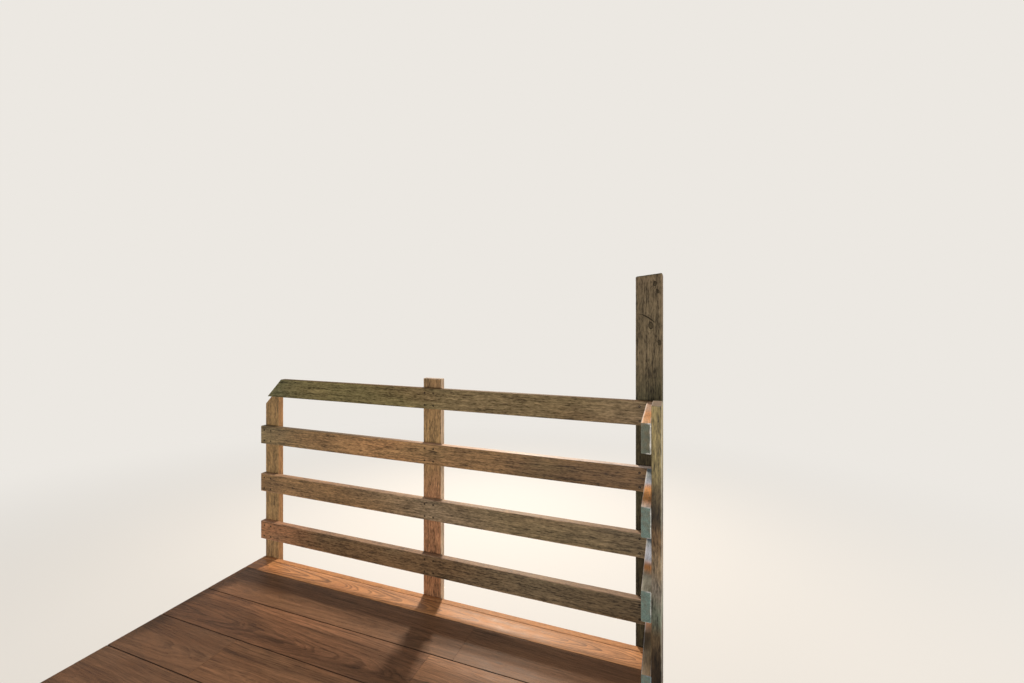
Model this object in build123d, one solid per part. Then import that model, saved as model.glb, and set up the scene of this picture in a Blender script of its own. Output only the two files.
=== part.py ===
"""Sleeping loft of a tiny house: a joisted deck with a board guard rail round its open edge.

Frame: +X runs to the right along the guard, +Y points out over the open edge, +Z is up.
The origin is the middle of the bounding box, on the plane the loft rests on. While the pieces
are laid out, X counts from the left wall, Y from the inner face of the front fascia and Z from
the top of the finished floor.
"""

from build123d import *
import math
import os

# Board stock of the guard and the fascia
board_thickness = 28.6
board_width = 89.0
eased_edge = 2.5

# Guard
guard_length = 1923.0
rail_top = 914.4
rail_pitch = 241.3
rail_names = ["top", "upper", "lower", "bottom"]
middle_post_rise = 39.0
middle_post_offset = 4.0
return_post_rise = 66.0
return_setback = 19.0

# Corner newel
newel_size = 95.0
newel_height = 1383.0
newel_overhang = 16.0
newel_chamfer = 4.0
newel_top_bevel = 3.0
newel_top_fall = 11.0

# Ceiling that cuts the left end
ceiling_spring = 781.0
ceiling_slope = 45.0

# Deck
deck_width = 2337.0
edge_board_width = 86.0
bays = 5
joist_spacing = 406.4
joist_thickness = 38.1
joist_depth = 139.7
ledger_depth = 63.5
ledger_thickness = 38.1
subfloor_thickness = 18.3
subfloor_sheet = 1219.2
floor_thickness = 12.7
header_plies = 2
lumber_ease = 3.0

# Steel angles inside the deck's front corner
angle_leg = 40.0
angle_height = 110.0
angle_thickness = 2.5
angle_bend = 3.0

# Levels, counted from the top of the finished floor
subfloor_top = -floor_thickness
joist_top = subfloor_top - subfloor_thickness
joist_bottom = joist_top - joist_depth
base = joist_bottom - ledger_depth

# Plan lines
fascia_face = board_thickness
post_face = fascia_face + board_thickness
newel_face = fascia_face + newel_size
deck_edge_x = guard_length - board_thickness
return_face_x = guard_length + board_thickness
notch_back_y = board_thickness - joist_spacing
return_end_y = notch_back_y + return_setback
deck_back_y = -(bays * joist_spacing + joist_thickness)
header_left_x = deck_edge_x - header_plies * joist_thickness


def block(x, y, z):
    """A box between a low and a high value on each axis."""
    size = (x[1] - x[0], y[1] - y[0], z[1] - z[0])
    return Pos(x[0], y[0], z[0]) * Box(*size, align=(Align.MIN, Align.MIN, Align.MIN))


def board(x, y, z, grain, ease=eased_edge):
    """A board with its four long edges eased; grain is the axis that it runs along."""
    solid = block(x, y, z)
    return fillet(solid.edges().filter_by(grain), ease)


def under_ceiling(solid):
    """What is left of a piece once its top is sawn to the slope of the ceiling."""
    angle = math.radians(ceiling_slope)
    normal = (-math.sin(angle), 0, math.cos(angle))
    ceiling = Plane(origin=(0, 0, ceiling_spring), z_dir=normal)
    return split(solid, bisect_by=ceiling, keep=Keep.BOTTOM)


def rail_heights(index):
    """Low and high level of a rail, counted down from the top one."""
    top = rail_top - index * rail_pitch
    return top - board_width, top


def guard_posts():
    """Two board posts and the squared newel, all on the outer face of the fascia."""
    middle = (guard_length + board_thickness) / 2 + middle_post_offset
    half = board_width / 2
    outside = (fascia_face, post_face)
    left = board((0, board_width), outside, (base, rail_top + middle_post_rise), Axis.Z)
    centre = board((middle - half, middle + half), outside, (base, rail_top + middle_post_rise), Axis.Z)
    return {"left_post": under_ceiling(left), "middle_post": centre, "corner_newel": corner_newel()}


def corner_newel():
    """A square timber with chamfered arrises, its top sawn a little out of level and bevelled."""
    right = guard_length + newel_overhang
    solid = block((right - newel_size, right), (fascia_face, newel_face), (base, newel_height))
    solid = chamfer(solid.edges().filter_by(Axis.Z), newel_chamfer)
    saw_line = Plane(origin=(right, 0, newel_height), z_dir=(-newel_top_fall, 0, newel_size))
    solid = split(solid, bisect_by=saw_line, keep=Keep.BOTTOM)
    return chamfer(solid.faces().sort_by(Axis.Z)[-1].edges(), newel_top_bevel)


def front_rails():
    """Four boards on edge, screwed to the near faces of the posts, from the wall to the corner."""
    rails = {}
    for index, name in enumerate(rail_names):
        rail = board((0, guard_length), (0, board_thickness), rail_heights(index), Axis.X)
        rails[f"{name}_rail"] = under_ceiling(rail)
    return rails


def corner_return():
    """Four short boards that butt the front rails, and the post that holds their free ends.

    The boards are eased all round, apart from the end that butts.
    """
    across = (deck_edge_x, guard_length)
    pieces = {}
    for index, name in enumerate(rail_names):
        rail = block(across, (return_end_y, 0), rail_heights(index))
        open_edges = rail.edges().filter_by_position(Axis.Y, return_end_y, 0, inclusive=(True, False))
        pieces[f"return_{name}_rail"] = fillet(open_edges, eased_edge)
    post_depth = (return_end_y, return_end_y + board_width)
    post_height = (base, rail_top + return_post_rise)
    pieces["return_post"] = board((guard_length, return_face_x), post_depth, post_height, Axis.Z)
    return pieces


def fascia():
    """Boards that close the deck's front edge and the two sides of the ladder notch."""
    depth = (base, 0)
    back = (notch_back_y - board_thickness, notch_back_y)
    return {
        "front_fascia": board((0, guard_length), (0, fascia_face), depth, Axis.X),
        "notch_side_fascia": board((deck_edge_x, guard_length), (notch_back_y, 0), depth, Axis.Y),
        "notch_back_fascia": board((deck_edge_x, deck_width), back, depth, Axis.X),
    }


def floor():
    """Edge board and finished floor, over sheets of subfloor laid on the joists."""
    top = (subfloor_top, 0)
    under = (joist_top, subfloor_top)
    side_front = notch_back_y - board_thickness
    return {
        "edge_board": block((0, deck_edge_x), (-edge_board_width, 0), top),
        "floor_main": block((0, deck_edge_x), (deck_back_y, -edge_board_width), top),
        "floor_side": block((deck_edge_x, deck_width), (deck_back_y, side_front), top),
        "subfloor_left": block((0, subfloor_sheet), (deck_back_y, 0), under),
        "subfloor_middle": block((subfloor_sheet, deck_edge_x), (deck_back_y, 0), under),
        "subfloor_right": block((deck_edge_x, deck_width), (deck_back_y, side_front), under),
    }


def joists():
    """Rim joist at the front, full joists behind the notch, and the header beside the notch."""
    depth = (joist_bottom, joist_top)

    def joist(right, bay):
        front = -bay * joist_spacing
        return board((0, right), (front - joist_thickness, front), depth, Axis.X, lumber_ease)

    pieces = {"front_rim_joist": joist(deck_edge_x, 0), "rear_rim_joist": joist(deck_width, bays)}
    for bay in range(1, bays):
        pieces[f"joist_{bay}"] = joist(deck_width, bay)
    for ply in range(header_plies):
        left = header_left_x + ply * joist_thickness
        run = (-joist_spacing, -joist_thickness)
        pieces[f"notch_header_{ply + 1}"] = board((left, left + joist_thickness), run, depth, Axis.Y, lumber_ease)
    return pieces


def ledgers():
    """Timbers on the walls that the ends of the joists sit on."""
    depth = (base, joist_bottom)
    right = (deck_width - ledger_thickness, deck_width)
    back = (deck_back_y, deck_back_y + ledger_thickness)
    between = (ledger_thickness, deck_width - ledger_thickness)
    return {
        "left_ledger": board((0, ledger_thickness), (deck_back_y, 0), depth, Axis.Y, lumber_ease),
        "right_ledger": board(right, (deck_back_y, -joist_spacing), depth, Axis.Y, lumber_ease),
        "rear_ledger": board(between, back, depth, Axis.X, lumber_ease),
    }


def steel_angle(corner_y, turn):
    """A bent steel angle in the corner between the header and a joist; turn mirrors it in Y."""
    middle = (joist_top + joist_bottom) / 2
    outline = Polyline((0, 0), (-angle_leg, 0), (-angle_leg, turn * angle_thickness),
                       (-angle_thickness, turn * angle_thickness), (-angle_thickness, turn * angle_leg),
                       (0, turn * angle_leg), close=True)
    profile = make_face(outline)
    inner = profile.vertices().sort_by_distance((-angle_thickness, turn * angle_thickness, 0))[0]
    profile = fillet(inner, angle_bend)
    angle = extrude(Plane.XY * profile, angle_height / 2, both=True)
    return Pos(header_left_x, corner_y, middle) * angle


def corner_brackets():
    """The two angles that tie the header to the rim joist and to the first full joist."""
    front = steel_angle(-joist_thickness, -1)
    back = steel_angle(-joist_spacing, 1)
    return {"corner_brackets": Compound(children=[front, back])}


def place(solid):
    """Move a piece from the layout lines to the frame of the whole part."""
    return Pos(-deck_width / 2, -(deck_back_y + newel_face) / 2, -base) * solid


def main():
    """Build every sub-assembly and write one file for each piece."""
    os.makedirs("parts", exist_ok=True)
    pieces = {}
    for group in (guard_posts, front_rails, corner_return, fascia, floor, joists, ledgers, corner_brackets):
        pieces.update(group())
    for name, solid in pieces.items():
        export_step(place(solid), f"parts/{name}.step")
    print(len(pieces), "pieces written")


main()
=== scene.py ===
"""Dresses the sleeping loft of a tiny house: stained guard, rough newel, plank floor and joisted underside.

Lengths are in metres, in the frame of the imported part: +X runs right along the guard as seen from the loft,
+Y points out over the open edge, and +Z is up. Sizes that the frame holds are read from its nodes.
"""

import logging
import math
from dataclasses import dataclass, replace
from enum import Enum
from itertools import pairwise

import bmesh
import bpy
from bmesh.types import BMesh
from bpy.types import ID, Material, Mesh, Node, NodeSocket, NodeTree, Object
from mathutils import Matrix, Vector, noise


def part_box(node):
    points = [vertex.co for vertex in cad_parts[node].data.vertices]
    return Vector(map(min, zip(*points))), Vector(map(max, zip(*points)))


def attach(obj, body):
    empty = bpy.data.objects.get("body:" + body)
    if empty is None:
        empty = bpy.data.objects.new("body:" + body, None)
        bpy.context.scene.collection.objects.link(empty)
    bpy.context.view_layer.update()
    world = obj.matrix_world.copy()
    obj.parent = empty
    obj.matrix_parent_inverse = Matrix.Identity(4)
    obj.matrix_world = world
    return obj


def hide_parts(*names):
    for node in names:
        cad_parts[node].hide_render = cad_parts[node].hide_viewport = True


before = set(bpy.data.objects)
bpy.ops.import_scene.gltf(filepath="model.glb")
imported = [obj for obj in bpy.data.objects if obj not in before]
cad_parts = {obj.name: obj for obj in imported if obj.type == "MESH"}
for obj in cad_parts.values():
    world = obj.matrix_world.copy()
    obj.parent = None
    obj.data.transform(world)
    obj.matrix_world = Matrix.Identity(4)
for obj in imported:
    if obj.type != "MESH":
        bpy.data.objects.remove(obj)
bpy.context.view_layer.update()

MM = 0.001
ROOT = "root"
log = logging.getLogger("loft")

Colour = tuple[float, float, float, float]
Triple = tuple[float, float, float]
OutlinePoint = tuple[float, float, float, float]


class Axis(Enum):
    """The direction that the grain of a piece runs in."""

    X = 0
    Y = 1
    Z = 2


class Tone(Enum):
    """Stain, timber and metal colours, and colours of painted light and reflection, as sRGB values from 0 to
    255.
    """

    OLIVE = (114, 103, 69)
    MOSS = (102, 98, 70)
    WALNUT = (137, 106, 71)
    RUSSET = (148, 103, 70)
    UMBER = (111, 86, 59)
    BARK = (84, 68, 47)
    SLATE = (94, 99, 84)
    TEAL = (104, 122, 113)
    APRICOT = (208, 142, 84)
    LILAC = (163, 172, 190)
    ICE = (190, 198, 214)
    BLUSH = (230, 210, 198)
    FLAME = (252, 176, 104)
    ROSE = (198, 160, 134)
    HONEY = (244, 188, 138)
    CHESTNUT = (126, 79, 50)
    COCOA = (100, 66, 44)
    AMBER = (168, 108, 68)
    PITCH = (57, 49, 33)
    SOOT = (71, 64, 48)
    DRIFT = (106, 90, 70)
    SPRUCE = (206, 172, 126)
    RESIN = (176, 128, 76)
    VENEER = (208, 176, 130)
    KNOT = (74, 50, 32)
    PALE = (236, 232, 226)
    OAK = (190, 134, 88)
    FAWN = (134, 114, 88)
    PEWTER = (118, 108, 94)
    LEAF = (138, 122, 82)
    STEEL = (122, 134, 142)
    SIENNA = (156, 108, 78)
    LOAM = (126, 94, 70)
    CEDAR = (160, 114, 80)
    HAZEL = (126, 108, 78)
    BRAN = (146, 116, 76)
    DUST = (112, 96, 72)
    PEAT = (50, 38, 24)
    SEAM = (36, 24, 17)
    BUFF = (214, 186, 156)
    TAWNY = (166, 124, 82)
    CINDER = (92, 83, 65)
    ASH = (166, 164, 148)

    @property
    def linear(self) -> Colour:
        """The colour as linear RGBA."""
        return (*(linear_channel(value / 255) for value in self.value), 1.0)


def linear_channel(value: float) -> float:
    """Turns one sRGB channel, from 0 to 1, to a linear one."""
    return value / 12.92 if value <= 0.04045 else ((value + 0.055) / 1.055) ** 2.4


def shades(names: str) -> tuple[Tone, ...]:
    """Tones by name, in order."""
    return tuple(Tone[name] for name in names.split())


class Wire:
    """What comes out of a node. Arithmetic on it adds the nodes that work it out."""

    def __init__(self, graph: "Graph", socket: NodeSocket) -> None:
        """Holds one output of a graph."""
        self.graph = graph
        self.socket = socket

    @property
    def wide(self) -> bool:
        """True for a vector or a colour."""
        return self.socket.type in ("VECTOR", "RGBA")

    def __add__(self, other: "Feed") -> "Wire":
        """The sum."""
        return self.graph.step("ADD", self, other)

    def __sub__(self, other: "Feed") -> "Wire":
        """The difference."""
        return self.graph.step("SUBTRACT", self, other)

    def __rsub__(self, other: "Feed") -> "Wire":
        """The difference, with this wire taken away."""
        return self.graph.step("SUBTRACT", other, self)

    def __mul__(self, other: "Feed") -> "Wire":
        """The product."""
        return self.graph.step("MULTIPLY", self, other)

    def __truediv__(self, other: "Feed") -> "Wire":
        """The quotient."""
        return self.graph.step("DIVIDE", self, other)

    def __abs__(self) -> "Wire":
        """The number without its sign."""
        return self.graph.math("ABSOLUTE", self)

    def length(self) -> "Wire":
        """The length of a vector."""
        return self.graph.out("ShaderNodeVectorMath", {0: self}, "Value", operation="LENGTH")

    def parts(self) -> list["Wire"]:
        """The three parts of a vector."""
        made = self.graph.node("ShaderNodeSeparateXYZ", {0: self})
        return [Wire(self.graph, socket) for socket in made.outputs]


Feed = Wire | float | int | bool | str | tuple | ID
Feeds = dict[str | int, Feed]


class Graph:
    """Short calls that add nodes to a tree and join them."""

    def __init__(self, tree: NodeTree) -> None:
        """Works on one tree."""
        self.tree = tree

    def node(self, kind: str, feeds: Feeds | None = None, **settings: object) -> Node:
        """Adds one node.

        Args:
            kind: The node's type name.
            feeds: What goes into its sockets, by name or number.
            settings: Values of the node's own options.

        Returns:
            The new node.
        """
        made = self.tree.nodes.new(kind)
        for key, value in settings.items():
            setattr(made, key, value)
        self.fill(made, feeds or {})
        return made

    def out(self, kind: str, feeds: Feeds | None = None, output: str | int = 0, **settings: object) -> Wire:
        """Adds one node and gives one of its outputs."""
        return Wire(self, self.node(kind, feeds, **settings).outputs[output])

    def fill(self, node: Node, feeds: Feeds) -> None:
        """Links a node's sockets to wires, or sets their values.

        Args:
            node: The node.
            feeds: What goes into its sockets, by name or number.
        """
        for key, value in feeds.items():
            if isinstance(value, Wire):
                self.tree.links.new(value.socket, node.inputs[key])
            else:
                node.inputs[key].default_value = value

    def math(self, operation: str, *values: Feed) -> Wire:
        """One step of arithmetic on numbers."""
        return self.out("ShaderNodeMath", dict(enumerate(values)), operation=operation)

    def step(self, operation: str, a: Feed, b: Feed) -> Wire:
        """One step on two numbers or two vectors, or a vector times a number.

        Args:
            operation: Its name.
            a: The first value.
            b: The second.

        Returns:
            The result.
        """
        wide = [isinstance(value, tuple) or getattr(value, "wide", False) for value in (a, b)]
        if not any(wide):
            return self.math(operation, a, b)
        if all(wide):
            return self.out("ShaderNodeVectorMath", {0: a, 1: b}, operation=operation)
        vector, number = (a, b) if wide[0] else (b, a)
        return self.out("ShaderNodeVectorMath", {0: vector, "Scale": number}, operation="SCALE")

    def least(self, a: Feed, b: Feed) -> Wire:
        """The lesser of two numbers."""
        return self.math("MINIMUM", a, b)

    def most(self, a: Feed, b: Feed) -> Wire:
        """The greater of two numbers."""
        return self.math("MAXIMUM", a, b)

    def coordinate(self, name: str) -> Wire:
        """The point in the part's frame, or the way that the surface faces."""
        return self.out("ShaderNodeTexCoord", output=name)

    def join(self, x: Feed, y: Feed, z: Feed) -> Wire:
        """A vector from three numbers."""
        return self.out("ShaderNodeCombineXYZ", {0: x, 1: y, 2: z})

    def span(self, value: Feed, low: Feed, high: Feed, start: float = 0.0, end: float = 1.0) -> Wire:
        """A smooth step from start to end as value goes from low to high."""
        feeds = {0: value, 1: low, 2: high, 3: start, 4: end}
        return self.out("ShaderNodeMapRange", feeds, interpolation_type="SMOOTHSTEP")

    def noise(self, place: Wire, stretch: Triple, detail: float, rough: float, output: str | int = 0) -> Wire:
        """Noise from 0 to 1, or three of them as a colour.

        Args:
            place: Where it is read, in metres.
            stretch: Features a metre along, across and through the grain.
            detail: How many finer layers are added.
            rough: How strong they are.
            output: "Color" for the three.
        """
        feeds = {"Vector": place * stretch, "Scale": 1.0, "Detail": detail, "Roughness": rough}
        return self.out("ShaderNodeTexNoise", feeds, output)

    def mix(self, share: Feed, a: Feed, b: Feed) -> Wire:
        """A blend of two colours."""
        return self.out("ShaderNodeMix", {0: share, 6: a, 7: b}, 2, data_type="RGBA")

    def ramp(self, value: Feed, tones: tuple[Tone, ...]) -> Wire:
        """Tones spread evenly from 0 to 1, easing from one to the next.

        Args:
            value: Where to read.
            tones: The tones in order.

        Returns:
            The colour there.
        """
        made = self.node("ShaderNodeValToRGB", {0: value})
        made.color_ramp.interpolation = "EASE"
        stops = made.color_ramp.elements
        stops[0].color = tones[0].linear
        stops[1].color = tones[-1].linear
        for index, tone in enumerate(tones[1:-1], start=1):
            stops.new(index / (len(tones) - 1)).color = tone.linear
        return Wire(self, made.outputs[0])


@dataclass(frozen=True)
class Knot:
    """A knot in a piece, placed along and across the grain from the piece's middle."""

    along: float
    across: float
    radius: float


@dataclass(frozen=True)
class Growth:
    """How the tree grew: its rings, their distance from the sawn face, and its knots."""

    pitch: float = 3.4 * MM
    pith: tuple[float, float] = (6 * MM, -46 * MM)
    taper: float = 0.018
    wander: float = 16 * MM
    knottiness: float = 0.0
    knots: tuple[Knot, ...] = ()


class TimberGroup:
    """The node group that every timber shares: rings, fibres, blotches and knots of one tree."""

    NAME = "sawn_timber"
    VECTORS = ("Place", "Pith")
    NUMBERS = ("Pitch", "Taper", "Wander", "Knottiness", "Lift")
    LAYERS = {
        "Fibre": ((14, 300, 300), 3, 0.62),
        "Streak": ((3.4, 84, 84), 4, 0.7),
        "Mottle": ((17, 44, 44), 4, 0.72),
        "Speck": ((56, 230, 230), 2, 0.7),
        "Patch": ((2.1, 7, 7), 2, 0.5),
    }
    OUTPUTS = ("Late", "Knot", "Rim", *LAYERS)
    SWAY = ((0.9, 1.6, 1.6), 1, 0.5, "Color")
    RIPPLE = ((4, 17, 17), 3, 0.55, "Color")
    YEARS = ((70, 0, 0), 2, 0.7)
    BURR = ((90, 90, 90), 3, 0.6)
    MIDDLE = (0.5, 0.5, 0.5)
    RIPPLE_SHARE = 0.22
    WANDER_GAIN = 4.0
    YEAR_SPREAD = 5.0
    CELL = (0.46, 0.16, 1.0)
    KNOT_STRETCH = (0.6, 1.0)
    KNOT_LIFT = 17 * MM
    KNOT_REACH = 19 * MM
    SMALL_KNOT = 5 * MM
    KNOT_RANGE = 9 * MM
    RAGGED = 6 * MM
    KNOT_RINGS = 24.0
    KNOT_RING_DEPTH = 0.16
    KNOT_TONE = 0.72
    # Smooth steps: from and to, then the values before and after where they aren't 0 and 1
    RISE = (0.25, 0.9)
    FALL = (0.93, 1.0, 1.0, 0.0)
    HEART = (0.0, 0.3, 0.35, 0.0)
    WOOD = (0.86, 1.06, 1.0, 0.0)
    BARK_STARTS = (0.74, 0.92)
    BARK_ENDS = (0.98, 1.2, 1.0, 0.0)

    @classmethod
    def tree(cls) -> NodeTree:
        """Gives the group, building it on the first call."""
        return bpy.data.node_groups.get(cls.NAME) or cls().build()

    def build(self) -> NodeTree:
        """Builds the group.

        Returns:
            The group.
        """
        tree = bpy.data.node_groups.new(self.NAME, "ShaderNodeTree")
        for names, way, kind in ((self.VECTORS, "INPUT", "Vector"), (self.NUMBERS, "INPUT", "Float"),
                                 (self.OUTPUTS, "OUTPUT", "Float")):
            for name in names:
                tree.interface.new_socket(name, in_out=way, socket_type=f"NodeSocket{kind}")
        graph = Graph(tree)
        sockets = graph.node("NodeGroupInput").outputs
        given = {name: Wire(graph, sockets[name]) for name in self.VECTORS + self.NUMBERS}
        place = given["Place"]
        knot, rim, lift = self.wild_knots(graph, place, given["Knottiness"])
        radius = self.radius(graph, given) - (lift + given["Lift"])
        results = {"Late": self.late_wood(graph, radius, given["Pitch"]), "Knot": knot, "Rim": rim}
        for name, layer in self.LAYERS.items():
            results[name] = graph.noise(place, *layer)
        graph.node("NodeGroupOutput", results)
        return tree

    def radius(self, graph: Graph, given: dict[str, Wire]) -> Wire:
        """Distance from the pith, which wanders along the tree and tapers.

        Args:
            graph: Where the nodes go.
            given: The group's inputs by name.

        Returns:
            The distance.
        """
        place = given["Place"]
        sway = graph.noise(place, *self.SWAY) - self.MIDDLE
        ripple = graph.noise(place, *self.RIPPLE) - self.MIDDLE
        shift = (sway + ripple * self.RIPPLE_SHARE) * (given["Wander"] * self.WANDER_GAIN)
        across = (place - given["Pith"]) * (0, 1, 1)
        return (across + shift).length() + place.parts()[0] * given["Taper"]

    def late_wood(self, graph: Graph, radius: Wire, pitch: Wire) -> Wire:
        """The dense band that closes each ring: it comes on slowly and stops short.

        Args:
            graph: Where the nodes go.
            radius: Distance from the pith.
            pitch: A ring's width.

        Returns:
            How dense the wood is, from 0 to 1.
        """
        years = graph.noise(graph.join(radius, 0.0, 0.0), *self.YEARS)
        part = graph.math("FRACT", radius / pitch + years * self.YEAR_SPREAD)
        return graph.span(part, *self.RISE) * graph.span(part, *self.FALL)

    def wild_knots(self, graph: Graph, place: Wire, knottiness: Wire) -> tuple[Wire, Wire, Wire]:
        """Knots strewn by chance, one a cell at most: their wood, their bark and how they lift the rings.

        Args:
            graph: Where the nodes go.
            place: The point in the timber.
            knottiness: The share of cells that hold a knot.

        Returns:
            How far the point is in wood and in bark, and how far rings are lifted.
        """
        cells = place / self.CELL
        feeds = {"Vector": cells, "Scale": 1.0}
        found = graph.node("ShaderNodeTexVoronoi", feeds, voronoi_dimensions="2D").outputs
        long, wide = (size * stretch for size, stretch in zip(self.CELL, self.KNOT_STRETCH))
        distance = ((cells - Wire(graph, found["Position"])) * (long, wide, 0)).length()
        chance, share, _spare = Wire(graph, found["Color"]).parts()
        shown = graph.math("LESS_THAN", chance, knottiness)
        wood, bark = self.knot(graph, place, distance, share * self.KNOT_RANGE + self.SMALL_KNOT)
        lift = self.swell(graph, distance, self.KNOT_REACH, self.KNOT_LIFT)
        return wood * shown, bark * shown, lift * shown

    @classmethod
    def knot(cls, graph: Graph, place: Wire, distance: Wire, size: Feed) -> tuple[Wire, Wire]:
        """A knot's wood, with its own fine rings, and the dark bark round it.

        Args:
            graph: Where the nodes go.
            place: The point in the timber.
            distance: How far it is from the knot's heart.
            size: The knot's radius.

        Returns:
            How far the point is in the wood and in the bark, each from 0 to 1.
        """
        ragged = graph.noise(place, *cls.BURR) - 0.5
        part = (ragged * cls.RAGGED + distance) / size
        rings = graph.math("SINE", part * cls.KNOT_RINGS) * cls.KNOT_RING_DEPTH + cls.KNOT_TONE
        wood = graph.span(part, *cls.WOOD) * (rings + graph.span(part, *cls.HEART))
        bark = graph.span(part, *cls.BARK_STARTS) * graph.span(part, *cls.BARK_ENDS)
        return wood, bark

    @staticmethod
    def swell(graph: Graph, distance: Wire, reach: float, height: float) -> Wire:
        """A bell-shaped rise about a knot."""
        return graph.math("EXPONENT", graph.math("POWER", distance / reach, 2.0) * -1.0) * height


@dataclass(frozen=True)
class Cut:
    """A piece as sawn: its box in the frame, its grain, and its own place in the tree.

    The grain frame counts from the middle: along the grain, across the wider side, through the thickness. The
    toe is how far the high end leans to the low side of the thickness.
    """

    low: Vector
    high: Vector
    grain: Axis
    seed: float
    toe: float = 0.0

    @property
    def order(self) -> tuple[int, int, int]:
        """The frame's axes that run along the grain, across the wide side and through the thickness.

        Returns:
            The three axes' numbers.
        """
        size = self.high - self.low
        others = sorted((i for i in range(3) if i != self.grain.value), key=lambda i: (-round(size[i], 4), i))
        return (self.grain.value, *others)

    @property
    def half(self) -> Triple:
        """Half the size along, across and through."""
        return tuple((self.high[i] - self.low[i]) / 2 for i in self.order)

    @property
    def middle(self) -> Vector:
        """The middle of the box, in the frame."""
        return (self.low + self.high) / 2

    def place(self, along: float, across: float, through: float) -> Vector:
        """Takes a point from the grain frame to the part's frame.

        Args:
            along: Along the grain.
            across: Across the wide side.
            through: Through the thickness.

        Returns:
            The point.
        """
        point = Vector(self.middle)
        for axis, value in zip(self.order, (along, across, through)):
            point[axis] += value
        return point

    @classmethod
    def of(cls, node: str, grain: Axis, seed: float, toe: float = 0.0) -> "Cut":
        """The cut that a node of the frame has."""
        return cls(*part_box(node), grain, seed, toe)

    def lean(self, share: float) -> float:
        """How far the piece leans at a share of its length from the low end."""
        return self.toe * share


@dataclass(frozen=True)
class Finish:
    """A timber's colours and surface.

    Tones, and those of a top face, run along the grain from low to high, or are dealt out plank by plank.
    The top tones are painted light: top faces drawn paler, pinker or darker as the lamps fall on them, with
    painted reflection on the return boards. Shares say how far rings, streaks, fibres and blotches darken or
    lighten the tone, how far patch colours it, and how far the arris and side tone colours it: abrasion and
    painted highlight on arrises, dark seams and painted light on side faces. One_sided is how much less the
    low side of the thickness takes the arris tone, end_sided the same near the ends alone, and one_ended how
    much less the high end of the length takes it; on the return boards and their post these keep the painted
    highlight to one arris.
    """

    tones: tuple[Tone, ...]
    # Top-face tones, painted light: paler or darker where the lamps fall on the tops
    top: tuple[Tone, ...] = (Tone.ROSE, Tone.ROSE)
    patch: Tone = Tone.BARK
    wear_seam_and_light: Tone = Tone.ROSE
    end: Tone = Tone.BARK
    knot: Tone = Tone.KNOT
    late: float = 0.24
    fibre: float = 0.9
    streak: float = 0.95
    mottle: float = 0.75
    speck: float = 1.15
    patched: float = 0.5
    # The arris share covers abrasion and painted highlight, the top share painted light, and the side share
    # dark seams and painted light on side faces
    edge_wear_and_light: float = 0.5
    painted_top_light: float = 0.3
    side_seam_and_light: float = 0.0
    edge_reach: float = 4 * MM
    one_sided: float = 0.0
    end_sided: float = 0.0
    one_ended: float = 0.0
    roughness: float = 0.6
    gloss: float = 0.2
    relief: float = 0.35 * MM
    growth: Growth = Growth()

    def material(self, name: str, cut: Cut, attribute: str = "") -> Material:
        """Makes the material of one piece.

        Args:
            name: The material's name.
            cut: How the piece lies in the frame.
            attribute: Where the piece is planks, the vector attribute that holds each one's own middle.
        """
        return TimberShader(name, self, cut, attribute).material


# Bare softwood, as it comes from the mill
BARE = Finish(shades("SPRUCE SPRUCE"), patch=Tone.RESIN, wear_seam_and_light=Tone.SPRUCE, end=Tone.RESIN, knot=Tone.CHESTNUT,
              late=0.3, fibre=0.25, streak=0.3, mottle=0.22, speck=0.15, patched=0.3, edge_wear_and_light=0.0,
              painted_top_light=0.0, roughness=0.7, relief=0.25 * MM,
              growth=Growth(4.2 * MM, (10 * MM, -28 * MM), taper=0.022, wander=18 * MM, knottiness=0.55))


def new_material(name: str) -> tuple[Material, Graph, Node]:
    """Makes an empty material.

    Args:
        name: The material's name.

    Returns:
        The material, its graph and its shader.
    """
    material = bpy.data.materials.new(name)
    material.use_nodes = True
    return material, Graph(material.node_tree), material.node_tree.nodes["Principled BSDF"]


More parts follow.
